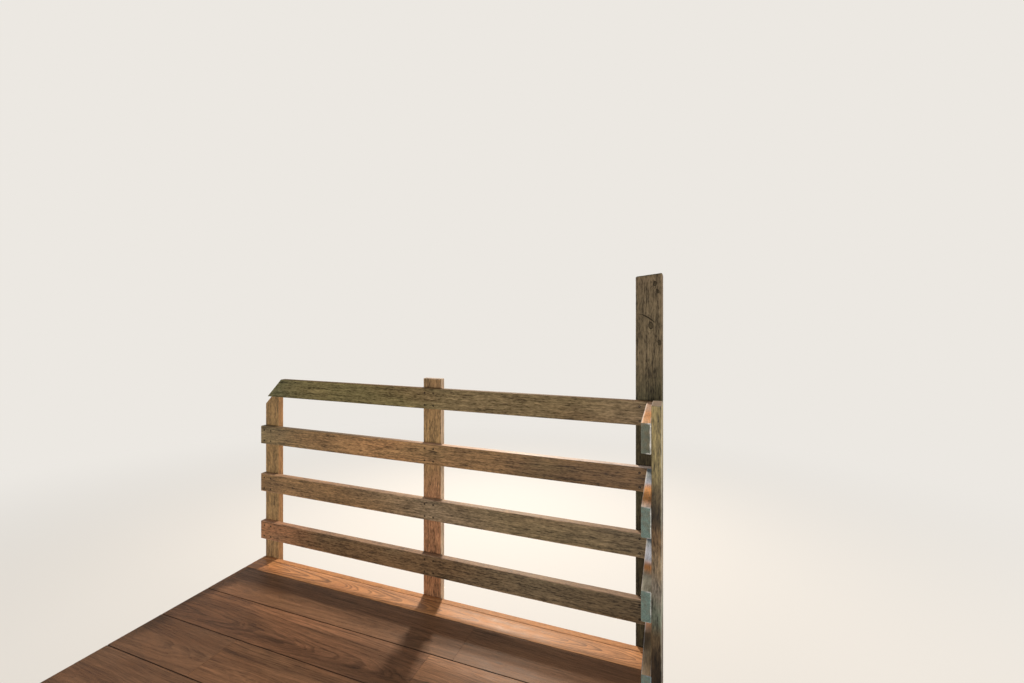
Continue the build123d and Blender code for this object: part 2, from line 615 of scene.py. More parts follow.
class TimberShader:
    """One piece's timber material, put together from its finish and its cut."""

    SEED_STEP = 3.17
    PLANK_SHIFT = (40.0, 0.05, 0.0)
    KNOT_OVAL = (0.65, 1.0, 0.0)
    KNOT_REACH = 2.1
    KNOT_LIFT = 1.9
    DARKEST = 0.12
    RAGGED = 8 * MM
    HEIGHTS = (("Late", 0.35), ("Fibre", 0.7), ("Streak", 0.8), ("Rim", -1.2))
    ROUGH_LATE = -0.06
    ROUGH_MOTTLE = 0.36
    TONE_DRIFT = 0.24
    BARK_SHADE = -0.72
    END_FIBRE = 0.7
    END_STREAK = 0.9
    END_LATE = -0.25
    END_DIRT = 0.6
    SIDE_GRAIN = 0.5
    TOP_GRAIN = 0.45
    BUMP = 0.8
    # Smooth steps: from and to, then the values before and after where they aren't 0 and 1
    PATCHES = (0.5, 0.66)
    SAWN = (0.45, 0.62)
    # SIDES picks side faces for dark seams and painted side light; TOPS picks top faces for painted top light
    SIDES = (0.5, 0.8)
    TOPS = (0.6, 0.9)
    TOP_LIGHT_MOTTLE = (0.3, 0.6, 0.85, 1.0)
    DIRT = (0.42, 0.7)
    ARRIS_STREAKS = (0.3, 0.62, 0.35, 1.0)
    AT_END = (-6 * MM, -3 * MM)
    FAR_END = (0.8, 0.95)

    def __init__(self, name: str, finish: Finish, cut: Cut, attribute: str = "") -> None:
        """Makes the material.

        Args:
            name: The material's name.
            finish: Its colours and surface.
            cut: How the piece lies in the frame.
            attribute: Where the piece is planks, the attribute with their middles.
        """
        self.finish = finish
        self.cut = cut
        self.material, self.graph, self.shader = new_material(name)
        graph = self.graph
        self.place, self.moved, self.dealt = self.places(attribute)
        self.timber = self.read_timber()
        self.facing = graph.coordinate("Normal").parts()
        self.colour = self.stained()
        rough = self.swing("Mottle", self.ROUGH_MOTTLE) + finish.roughness
        rough = self.timber["Late"] * self.ROUGH_LATE + rough
        height: Feed = 0.0
        for layer, share in self.HEIGHTS:
            height = self.timber[layer] * share + height
        feeds = {"Strength": self.BUMP, "Distance": finish.relief, "Height": height}
        bump = graph.out("ShaderNodeBump", feeds)
        graph.fill(self.shader, {"Base Color": self.colour, "Roughness": rough, "Normal": bump,
                                 "Specular IOR Level": finish.gloss})

    def places(self, attribute: str) -> tuple[Wire, Wire, Wire | None]:
        """The grain frame's coordinates, plain and moved to this piece's own place in the tree.

        Args:
            attribute: Where the piece is planks, the attribute with their middles.

        Returns:
            The plain place, the moved one, and each plank's own number from 0 to 1, or None.
        """
        graph = self.graph
        middle: Feed = tuple(self.cut.middle)
        if attribute:
            middle = graph.out("ShaderNodeAttribute", output="Vector", attribute_name=attribute)
        parts = (graph.coordinate("Object") - middle).parts()
        place = graph.join(*(parts[i] for i in self.cut.order))
        moved = place + (self.cut.seed * self.SEED_STEP, 0.0, 0.0)
        if not attribute:
            return place, moved, None
        own = graph.node("ShaderNodeTexWhiteNoise", {"Vector": middle}, noise_dimensions="3D").outputs
        return place, moved + Wire(graph, own["Color"]) * self.PLANK_SHIFT, Wire(graph, own["Value"])

    def read_timber(self) -> dict[str, Wire]:
        """The timber group's outputs, with the knots that this finish lists.

        Returns:
            The outputs by name.
        """
        graph = self.graph
        growth = self.finish.growth
        lift: Feed = 0.0
        own = []
        for knot in growth.knots:
            distance = ((self.place - (knot.along, knot.across, 0.0)) * self.KNOT_OVAL).length()
            reach, height = knot.radius * self.KNOT_REACH, knot.radius * self.KNOT_LIFT
            lift = TimberGroup.swell(graph, distance, reach, height) + lift
            own.append(TimberGroup.knot(graph, self.place, distance, knot.radius))
        feeds = {"Place": self.moved, "Pith": (0.0, *growth.pith), "Lift": lift}
        for name in ("Pitch", "Taper", "Wander", "Knottiness"):
            feeds[name] = getattr(growth, name.lower())
        outputs = graph.node("ShaderNodeGroup", feeds, node_tree=TimberGroup.tree()).outputs
        timber = {name: Wire(graph, outputs[name]) for name in TimberGroup.OUTPUTS}
        for wood, bark in own:
            timber["Knot"] = graph.most(timber["Knot"], wood)
            timber["Rim"] = graph.most(timber["Rim"], bark)
        return timber

    def swing(self, layer: str, share: float) -> Wire:
        """How far a layer of the timber lies above or below its middle, times a share."""
        return (self.timber[layer] - 0.5) * share

    def stained(self) -> Wire:
        """The stained colour, with abrasion, dark seams, and painted light on top faces, side faces and
        arrises.

        Returns:
            The colour.
        """
        finish, graph, timber, cut = self.finish, self.graph, self.timber, self.cut
        run = self.dealt or self.place.parts()[0] * (0.5 / cut.half[0]) + 0.5
        run = run + self.swing("Patch", self.TONE_DRIFT)
        patch = graph.span(timber["Patch"], *self.PATCHES) * finish.patched
        base = graph.mix(patch, graph.ramp(run, finish.tones), finish.patch.linear)
        shade: Feed = 1.0
        for name in ("Mottle", "Streak", "Fibre", "Speck"):
            shade = self.swing(name, getattr(finish, name.lower()) * 2) + shade
        shade = timber["Late"] * -finish.late + shade
        base = base * graph.most(shade, self.DARKEST)
        base = graph.mix(timber["Knot"], base, finish.knot.linear)
        base = base * (timber["Rim"] * self.BARK_SHADE + 1.0)
        sawn = graph.span(abs(self.facing[cut.grain.value]), *self.SAWN)
        base = graph.mix(sawn, base, self.end_grain())
        # Side faces take the side tone: dark seams on planks, painted light on the posts' side faces
        side = graph.span(abs(self.facing[cut.order[1]]), *self.SIDES) * finish.side_seam_and_light
        grained = shade * self.SIDE_GRAIN + (1 - self.SIDE_GRAIN)
        base = graph.mix(side, base, grained * finish.wear_seam_and_light.linear[:3])
        # Painted light on top faces: the top tones laid over what faces up, broken up by the mottle
        share = graph.span(self.facing[2], *self.TOPS) * finish.painted_top_light
        share = share * graph.span(timber["Mottle"], *self.TOP_LIGHT_MOTTLE)
        grained = shade * self.TOP_GRAIN + (1 - self.TOP_GRAIN)
        base = graph.mix(share, base, graph.ramp(run, finish.top) * grained)
        # Arrises take the arris tone: abrasion, and painted highlight on the return boards and their post
        return graph.mix(self.arris_wear_and_light(), base, finish.wear_seam_and_light.linear)

    def end_grain(self) -> Wire:
        """The colour of a sawn end, with dirt in it.

        Returns:
            The colour.
        """
        finish, graph, timber = self.finish, self.graph, self.timber
        speck = self.swing("Fibre", self.END_FIBRE) + (self.swing("Streak", self.END_STREAK) + 1.0)
        speck = speck + timber["Late"] * self.END_LATE
        dirt = graph.span(timber["Mottle"], *self.DIRT) * self.END_DIRT
        return graph.mix(dirt, finish.end.linear, finish.patch.linear) * speck

    def arris_wear_and_light(self) -> Wire:
        """How far the arris tone covers the piece's arrises: abrasion of the stain, and on the return boards
        and their post a painted highlight along the lit arris.

        Returns:
            The share that takes the arris tone.
        """
        finish, graph, cut = self.finish, self.graph, self.cut
        half = cut.half
        parts = self.place.parts()
        if cut.toe:
            parts[2] = parts[2] + (parts[0] * (cut.lean(0.5) / half[0]) + cut.lean(0.5))
        inside = [abs(part) - size for part, size in zip(parts, half)]
        lesser = graph.least(inside[0], inside[1])
        greater = graph.most(inside[0], inside[1])
        second = graph.most(lesser, graph.least(greater, inside[2]))
        ragged = self.swing("Mottle", self.RAGGED) + second
        near = graph.span(ragged, -finish.edge_reach, 0.0)
        grained = graph.span(self.timber["Streak"], *self.ARRIS_STREAKS)
        middle = (-half[2] / 2, half[2] / 2)
        grained = grained * graph.span(parts[2], *middle, 1 - finish.one_sided, 1.0)
        at_end = graph.span(inside[0], *self.AT_END)
        grained = grained * (1.0 - at_end * graph.span(parts[2], *middle, finish.end_sided, 0.0))
        far = (half[0] * share for share in self.FAR_END)
        grained = grained * graph.span(parts[0], *far, 1.0, 1 - finish.one_ended)
        return near * grained * finish.edge_wear_and_light


@dataclass(frozen=True)
class Plywood:
    """Peeled softwood veneer on the faces and banded plies on the edges."""

    plies: int = 7
    GRIT = ((160, 160, 600), 2, 0.6)
    GRITTY = 0.8
    GLUE_LINE = (0.35, 0.65)
    FACE = (0.4, 0.6)

    def material(self, name: str, cut: Cut) -> Material:
        """Makes the material of one sheet.

        Args:
            name: The material's name.
            cut: How the piece lies in the frame.

        Returns:
            The material.
        """
        growth = Growth(pitch=5.2 * MM, pith=(0.0, -4.0), taper=0.006, wander=30 * MM, knottiness=0.42)
        veneer = replace(BARE, tones=shades("VENEER VENEER"), patch=Tone.SPRUCE, wear_seam_and_light=Tone.VENEER, late=0.2,
                         fibre=0.22, streak=0.25, mottle=0.25, speck=0.12, roughness=0.72, relief=0.15 * MM,
                         growth=growth)
        sheet = TimberShader(name, veneer, cut)
        graph = sheet.graph
        point = graph.coordinate("Object")
        count = (point.parts()[2] - cut.low.z) * (self.plies / (cut.high.z - cut.low.z))
        band = graph.span(graph.math("PINGPONG", count, 1.0), *self.GLUE_LINE)
        grit = (graph.noise(point, *self.GRIT) - 0.5) * self.GRITTY + 1.0
        edge = graph.mix(band, Tone.RESIN.linear, Tone.SPRUCE.linear) * grit
        flat = graph.span(abs(sheet.facing[2]), *self.FACE)
        graph.fill(sheet.shader, {"Base Color": graph.mix(flat, edge, sheet.colour)})
        return sheet.material


@dataclass(frozen=True)
class Metal:
    """Zinc-coated or blackened steel."""

    light: Triple = (0.60, 0.61, 0.62)
    dark: Triple = (0.42, 0.43, 0.45)
    roughness: float = 0.42
    spangle: float = 120.0
    SMEAR = ((30, 30, 30), 3, 0.6)
    SMEARED = 0.3

    def material(self, name: str) -> Material:
        """Makes the metal's material.

        Args:
            name: The material's name.

        Returns:
            The material.
        """
        material, graph, shader = new_material(name)
        point = graph.coordinate("Object")
        feeds = {"Vector": point, "Scale": self.spangle}
        flakes = graph.out("ShaderNodeTexVoronoi", feeds, "Color").parts()[0]
        smear = (graph.noise(point, *self.SMEAR) - 0.5) * self.SMEARED
        graph.fill(shader, {"Base Color": graph.mix(flakes, (*self.dark, 1.0), (*self.light, 1.0)),
                            "Roughness": smear + self.roughness, "Metallic": 1.0})
        return material


class GeometryGraph(Graph):
    """A Geometry Nodes tree with named inputs, run on one mesh and turned to a plain mesh."""

    KINDS = {float: "Float", int: "Int", tuple: "Vector", Material: "Material", Object: "Object"}

    def __init__(self, name: str, inputs: dict[str, object]) -> None:
        """Makes the tree and its inputs.

        Args:
            name: The tree's name.
            inputs: Each input's value, by name: a number, a vector, an object or a material.
        """
        super().__init__(bpy.data.node_groups.new(name, "GeometryNodeTree"))
        self.values = inputs
        face = self.tree.interface
        face.new_socket("Geometry", in_out="INPUT", socket_type="NodeSocketGeometry")
        for key, value in inputs.items():
            face.new_socket(key, in_out="INPUT", socket_type=f"NodeSocket{self.KINDS[type(value)]}")
        face.new_socket("Geometry", in_out="OUTPUT", socket_type="NodeSocketGeometry")
        sockets = self.node("NodeGroupInput").outputs
        self.given = {key: Wire(self, sockets[key]) for key in ("Geometry", *inputs)}

    def finish(self, geometry: Wire) -> None:
        """Ends the tree: instances become real and take the material that came in as Finish.

        Args:
            geometry: What the tree has made.
        """
        real = self.out("GeometryNodeRealizeInstances", {0: geometry})
        dressed = self.out("GeometryNodeSetMaterial", {"Geometry": real, "Material": self.given["Finish"]})
        self.node("NodeGroupOutput", {0: dressed})

    def cylinder(self, sides: Wire, radius: Wire, depth: Wire) -> Wire:
        """A cylinder about its own middle."""
        feeds = {"Vertices": sides, "Radius": radius, "Depth": depth}
        return self.out("GeometryNodeMeshCylinder", feeds, "Mesh")

    def less(self, body: Wire, tool: Wire) -> Wire:
        """A body with a tool's shape cut out of it."""
        return self.out("GeometryNodeMeshBoolean", {"Mesh 1": body, "Mesh 2": tool}, "Mesh",
                        operation="DIFFERENCE", solver="EXACT")

    def lifted(self, body: Wire, height: Wire) -> Wire:
        """A body moved up."""
        return self.out("GeometryNodeTransform", {"Geometry": body, "Translation": self.join(0, 0, height)})

    def run(self, name: str, base: Mesh) -> Object:
        """Runs the tree on a mesh.

        Args:
            name: The new piece's name.
            base: The mesh that the tree starts from.

        Returns:
            A piece with a plain mesh and no modifier.
        """
        piece = add_object(name, base)
        modifier = piece.modifiers.new("nodes", "NODES")
        modifier.node_group = self.tree
        for item in self.tree.interface.items_tree:
            if item.in_out == "INPUT" and item.name in self.values:
                modifier[item.identifier] = self.values[item.name]
        piece.data = evaluated(piece)
        piece.modifiers.clear()
        return piece


def add_object(name: str, mesh: Mesh) -> Object:
    """Puts a mesh in the scene as an object at the origin.

    Args:
        name: The object's name.
        mesh: Its mesh.

    Returns:
        The object.
    """
    piece = bpy.data.objects.new(name, mesh)
    bpy.context.scene.collection.objects.link(piece)
    return piece


def evaluated(piece: Object) -> Mesh:
    """A plain copy of a piece's mesh, its modifiers included.

    Args:
        piece: The piece.

    Returns:
        The mesh.
    """
    graph = bpy.context.evaluated_depsgraph_get()
    result = piece.evaluated_get(graph)
    return bpy.data.meshes.new_from_object(result, preserve_all_data_layers=True, depsgraph=graph)


def as_mesh(name: str, shape: BMesh) -> Mesh:
    """Writes an edited shape to a mesh.

    Args:
        name: The mesh's name.
        shape: The shape, which is freed.

    Returns:
        The mesh.
    """
    mesh = bpy.data.meshes.new(name)
    shape.to_mesh(mesh)
    shape.free()
    return mesh


def outward(name: str, shape: BMesh) -> Mesh:
    """Writes an edited shape to a mesh, with its faces turned outwards."""
    bmesh.ops.recalc_face_normals(shape, faces=shape.faces)
    return as_mesh(name, shape)


def smooth(piece: Object, angle: float = 32.0) -> None:
    """Smooths a piece's shading, apart from edges sharper than the angle."""
    piece.data.shade_smooth()
    piece.data.set_sharp_from_angle(angle=math.radians(angle))


def settle(piece: Object, slot: str, *nodes: str) -> None:
    """Hands a finished piece to the frame.

    Args:
        piece: The piece.
        slot: A material slot's name; not used.
        nodes: The nodes that it stands for.
    """
    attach(piece, ROOT)
    if nodes:
        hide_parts(*nodes)
    log.info("%s: %d faces", piece.name, len(piece.data.polygons))


@dataclass(frozen=True)
class Screw:
    """One screw: where its head meets the timber, and the way that the head faces."""

    place: Vector
    aim: Vector


def axis_screw(away: int, sign: int, values: dict[int, float]) -> Screw:
    """A screw that faces along one of the frame's axes.

    Args:
        away: The axis that it faces along.
        sign: 1 or -1, the way that it faces.
        values: Where it is, by axis.

    Returns:
        The screw.
    """
    place, aim = Vector((0, 0, 0)), Vector((0, 0, 0))
    aim[away] = sign
    for axis, value in values.items():
        place[axis] = value
    return Screw(place, aim)


@dataclass(frozen=True)
class ScrewStyle:
    """The sizes of one kind of screw head and of the hole that it is sunk in."""

    head: float = 8.4 * MM
    thickness: float = 2.2 * MM
    sunk: float = 0.7 * MM
    socket: float = 3.2 * MM
    sides: int = 18
    socket_sides: int = 6
    clearance: float = 0.35 * MM
    extra_depth: float = 1.2 * MM
    socket_start: float = 0.45

    def sink(self, board: Mesh, screws: list[Screw], material: Material, name: str) -> Object:
        """Sinks a hole for each screw into a board, and gives the board as a new piece.

        Args:
            board: The board's mesh.
            screws: Where the holes go.
            material: The board's finish.
            name: The new piece's name.

        Returns:
            The new piece.
        """
        marks = self.marks(f"{name}_marks", screws)
        graph = GeometryGraph(f"{name}_sinks", {
            "Marks": marks, "Head": self.head, "Depth": self.sunk + self.extra_depth,
            "Clearance": self.clearance, "Sides": self.sides, "Finish": material})
        given = graph.given
        radius = given["Head"] * 0.5 + given["Clearance"]
        cutter = graph.cylinder(given["Sides"], radius, given["Depth"] * 2.0)
        cutters = graph.out("GeometryNodeRealizeInstances", {0: self.instances(graph, cutter)})
        graph.finish(graph.less(given["Geometry"], cutters))
        piece = graph.run(name, board)
        bpy.data.objects.remove(marks)
        return piece

    def heads(self, name: str, screws: list[Screw], material: Material) -> None:
        """Makes the heads of a set of screws as one piece.

        Args:
            name: The piece's name.
            screws: Where the heads sit.
            material: Their metal.
        """
        marks = self.marks(f"{name}_marks", screws)
        graph = GeometryGraph(f"{name}_heads", {
            "Marks": marks, "Head": self.head, "Thickness": self.thickness, "Sunk": self.sunk,
            "Socket": self.socket, "Socket Start": self.socket_start, "Sides": self.sides,
            "Socket Sides": self.socket_sides, "Finish": material})
        given = graph.given
        thickness = given["Thickness"]
        disc = graph.cylinder(given["Sides"], given["Head"] * 0.5, thickness)
        socket = graph.cylinder(given["Socket Sides"], given["Socket"] * 0.5, thickness)
        head = graph.less(disc, graph.lifted(socket, thickness * given["Socket Start"]))
        seated = graph.lifted(head, thickness * -0.5 + given["Sunk"] * -1.0)
        graph.finish(self.instances(graph, seated))
        piece = graph.run(name, bpy.data.meshes.new(name))
        bpy.data.objects.remove(marks)
        settle(piece, "galvanised_steel")

    @staticmethod
    def instances(graph: GeometryGraph, shape: Wire) -> Wire:
        """Puts a shape on every mark, its Z along the mark's aim.

        Args:
            graph: Where the nodes go.
            shape: What is put there.

        Returns:
            The instances.
        """
        points = graph.out("GeometryNodeObjectInfo", {"Object": graph.given["Marks"]}, "Geometry")
        aim = graph.out("GeometryNodeInputNamedAttribute", {"Name": "aim"}, data_type="FLOAT_VECTOR")
        turn = graph.out("FunctionNodeAlignRotationToVector", {"Vector": aim}, axis="Z")
        feeds = {"Points": points, "Instance": shape, "Rotation": turn}
        return graph.out("GeometryNodeInstanceOnPoints", feeds)

    @staticmethod
    def marks(name: str, screws: list[Screw]) -> Object:
        """An object with one point for each screw, and its aim as an attribute.

        Args:
            name: The object's name.
            screws: The screws.

        Returns:
            The object.
        """
        mesh = bpy.data.meshes.new(name)
        mesh.from_pydata([screw.place for screw in screws], [], [])
        aims = mesh.attributes.new("aim", "FLOAT_VECTOR", "POINT")
        aims.data.foreach_set("vector", [value for screw in screws for value in screw.aim])
        return add_object(name, mesh)


@dataclass(frozen=True)
class Check:
    """A drying crack: points along and across a face from its middle, the widest gap and the depth.

    The sign gives the face's outward side on the through axis, or on the across axis where side_face is true.
    """

    points: tuple[tuple[float, float], ...]
    gap: float
    depth: float
    sign: int = -1
    side_face: bool = False
    TIP, RUN = 0.06, 0.88
    PROUD = 0.6 * MM

    def cutter(self, cut: Cut) -> BMesh:
        """A wedge that opens the crack, thin at its ends.

        Args:
            cut: The timber.

        Returns:
            The wedge.
        """
        shape = bmesh.new()
        face = (cut.half[1] if self.side_face else cut.half[2]) * self.sign
        rows = []
        last = len(self.points) - 1
        for index, (along, across) in enumerate(self.points):
            before = Vector(self.points[max(index - 1, 0)])
            after = Vector(self.points[min(index + 1, last)])
            side = (after - before).orthogonal().normalized()
            share = math.sin(math.pi * (self.TIP + self.RUN * index / last))
            reach = side * self.gap * share / 2
            above = face + self.sign * self.PROUD
            below = face - self.sign * self.depth * share
            row = [(along + reach.x, across + reach.y, above), (along - reach.x, across - reach.y, above),
                   (along, across, below)]
            rows.append([shape.verts.new(self.corner(cut, *point)) for point in row])
        for one, two in pairwise(rows):
            for a, b in ((0, 1), (1, 2), (2, 0)):
                shape.faces.new((one[a], one[b], two[b], two[a]))
        shape.faces.new(rows[0])
        shape.faces.new(rows[-1])
        return shape

    def corner(self, cut: Cut, along: float, across: float, level: float) -> Vector:
        """A corner of the wedge in the part's frame."""
        return cut.place(along, level, across) if self.side_face else cut.place(along, across, level)


@dataclass
class Board:
    """A sawn timber that stands for one node: eased arrises, true cut ends, handling marks and screw holes.

    The slopes say how much further in the ends are sawn for each metre across the wide side. The trim is how
    far the high end stops short of the node, and the toe how far it leans to the low side of the thickness.
    """

    node: str
    grain: Axis
    finish: Finish
    slot: str
    seed: float
    ease: float = 2.5 * MM
    ease_steps: int = 3
    end_ease: float = 1.2 * MM
    low_slope: float = 0.0
    high_slope: float = 0.0
    high_trim: float = 0.0
    toe: float = 0.0
    step: float = 14 * MM
    unevenness: float = 0.25 * MM
    nicks: float = 0.9 * MM
    saw_marks: float = 0.0
    # Features a metre of slow waves, nicks, torn fibres and saw strokes, and how rare nicks are
    WAVES, NICKED, TORN = 7, 34, 60
    STROKES = (210, 40, 9)
    RARITY = 0.22

    def __post_init__(self) -> None:
        """Reads the board's box from the frame."""
        self.cut = Cut.of(self.node, self.grain, self.seed, self.toe)
        self.cut.high[self.grain.value] -= self.high_trim

    def make(self, screws: list[Screw], style: ScrewStyle, checks: tuple[Check, ...] = ()) -> list[Screw]:
        """Builds, dresses and settles the board.

        Args:
            screws: The screws that are sunk in it.
            style: Their kind.
            checks: Its drying cracks.

        Returns:
            The screws, whose heads are made later.
        """
        material = self.finish.material(f"{self.node}_finish", self.cut)
        name = f"{self.node}_timber"
        mesh = self.split_open(outward(name, self.shape()), checks)
        if screws:
            piece = style.sink(mesh, screws, material, name)
        else:
            piece = add_object(name, mesh)
            piece.data.materials.append(material)
        smooth(piece)
        settle(piece, self.slot, self.node)
        return screws

    def split_open(self, mesh: Mesh, checks: tuple[Check, ...]) -> Mesh:
        """Cuts the drying cracks into the timber.

        Args:
            mesh: The timber.
            checks: Its cracks.

        Returns:
            The cracked timber.
        """
        if not checks:
            return mesh
        timber = add_object(f"{self.node}_blank", mesh)
        wedges = []
        for index, check in enumerate(checks):
            wedge = add_object(f"{self.node}_wedge_{index}", outward("wedge", check.cutter(self.cut)))
            wedges.append(wedge)
            modifier = timber.modifiers.new(f"check_{index}", "BOOLEAN")
            modifier.operation = "DIFFERENCE"
            modifier.solver = "EXACT"
            modifier.object = wedge
        result = evaluated(timber)
        for spare in (timber, *wedges):
            bpy.data.objects.remove(spare)
        return result

    def shape(self) -> BMesh:
        """The timber as rings of one outline, set along the grain.

        Returns:
            The timber's shape.
        """
        shape = bmesh.new()
        along, across, _through = self.cut.half
        length = 2 * along
        count = max(int(length / self.step), 2)
        runs = [(0.0, self.end_ease), (self.end_ease, 0.0)]
        runs += [(length * index / count, 0.0) for index in range(1, count)]
        runs += [(length - self.end_ease, 0.0), (length, self.end_ease)]
        outline = self.outline()
        rings = []
        for run, inset in runs:
            ring = []
            share = run / length
            for v, w, out_v, out_w in outline:
                low = -along + self.low_slope * (v + across)
                high = along - self.high_slope * (across - v)
                u = low + (high - low) * share
                point = self.cut.place(u, v - out_v * inset, w - out_w * inset - self.cut.lean(share))
                ring.append(shape.verts.new(self.roughen(point, u, v, w, out_v, out_w)))
            rings.append(ring)
        for one, two in pairwise(rings):
            for index in range(len(outline)):
                after = (index + 1) % len(outline)
                shape.faces.new((one[index], one[after], two[after], two[index]))
        shape.faces.new(rings[0])
        shape.faces.new(rings[-1])
        return shape

    def outline(self) -> list[OutlinePoint]:
        """Points round the section with their outward directions: an arc or a chamfer at each corner.

        Returns:
            The points in order.
        """
        _along, across, through = self.cut.half
        points = []
        for index, (sign_v, sign_w) in enumerate(((1, 1), (-1, 1), (-1, -1), (1, -1))):
            for part in range(self.ease_steps + 1):
                angle = index * math.pi / 2 + part * math.pi / 2 / self.ease_steps
                out_v, out_w = math.cos(angle), math.sin(angle)
                v = sign_v * (across - self.ease) + out_v * self.ease
                w = sign_w * (through - self.ease) + out_w * self.ease
                points.append((v, w, out_v, out_w))
            points += self.face_points(index, sign_v, sign_w)
        return points

    def face_points(self, index: int, sign_v: int, sign_w: int) -> list[OutlinePoint]:
        """Points between two corners of the section, so that the face can be uneven.

        Args:
            index: The corner that the face starts from.
            sign_v: That corner's side across.
            sign_w: Its side through.

        Returns:
            The points in order.
        """
        _along, across, through = self.cut.half
        wide = index % 2 == 0
        length = 2 * ((across if wide else through) - self.ease)
        count = int(length / self.step)
        points = []
        for step in range(1, count):
            shift = length * step / count
            if wide:
                points.append((sign_v * (across - self.ease - shift), sign_w * through, 0.0, float(sign_w)))
            else:
                points.append((sign_v * across, sign_w * (through - self.ease - shift), float(sign_v), 0.0))
        return points

    def roughen(self, point: Vector, u: float, v: float, w: float, out_v: float, out_w: float) -> Vector:
        """Moves a point by a hair: slow waves, nicks at the arrises and saw marks.

        Args:
            point: The point in the part's frame.
            u: Its place along the grain.
            v: Across.
            w: Through.
            out_v: How far the surface faces across.
            out_w: How far it faces through.

        Returns:
            The same point, moved.
        """
        spot = point + Vector((self.seed, 0.0, 0.0))
        push = self.unevenness * (noise.noise(spot * self.WAVES) - 1) / 2
        if abs(out_v * out_w) > 0.05:
            push -= self.nicks * max(noise.noise(spot * self.NICKED) - self.RARITY, 0.0)
        if self.saw_marks:
            along, slant, wide = self.STROKES
            stroke = noise.noise(Vector((u * along + v * slant, v * wide, w * wide)))
            tear = noise.noise(spot * self.TORN)
            push += self.saw_marks * ((stroke + tear) / 2 - 1)
        _along, across, through = self.cut.order
        point[across] += out_v * push
        point[through] += out_w * push
        return point


